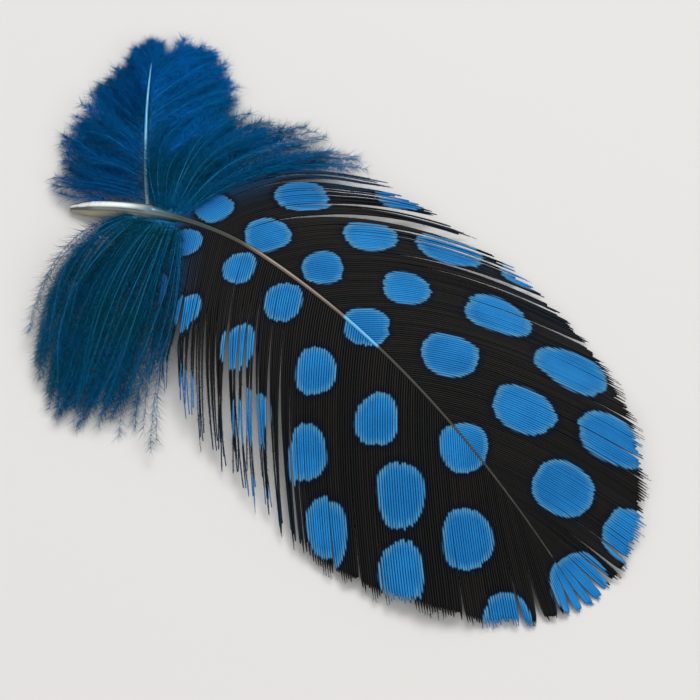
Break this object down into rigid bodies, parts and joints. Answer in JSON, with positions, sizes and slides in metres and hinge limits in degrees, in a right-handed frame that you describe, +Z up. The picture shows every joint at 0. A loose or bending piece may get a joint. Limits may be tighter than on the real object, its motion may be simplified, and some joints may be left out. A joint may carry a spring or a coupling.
{
  "type": "guinea fowl feather",
  "caption": "Dyed guinea fowl body feather with a spotted dark vane, blue down at its base, an afterfeather and a short pale quill.",
  "frame": {"origin": "centre of the feather's box, on the surface that it lies on", "axes": "+X from the quill towards the tip of the vane, +Y to the left of that, +Z up out of the spotted side"},
  "size_m": [0.087, 0.0508, 0.0068],
  "materials": {
    "horn_shaft": "satin",
    "spotted_vane": "matte",
    "blue_down": "matte"
  },
  "bodies": {
    "root": {"quill_shaft": "horn_shaft", "vane_left": "spotted_vane", "vane_right": "spotted_vane", "down_left": "blue_down", "down_right": "blue_down", "afterfeather_shaft": "horn_shaft", "afterfeather_down_left": "blue_down", "afterfeather_down_right": "blue_down"}
  },
  "joints": []
}
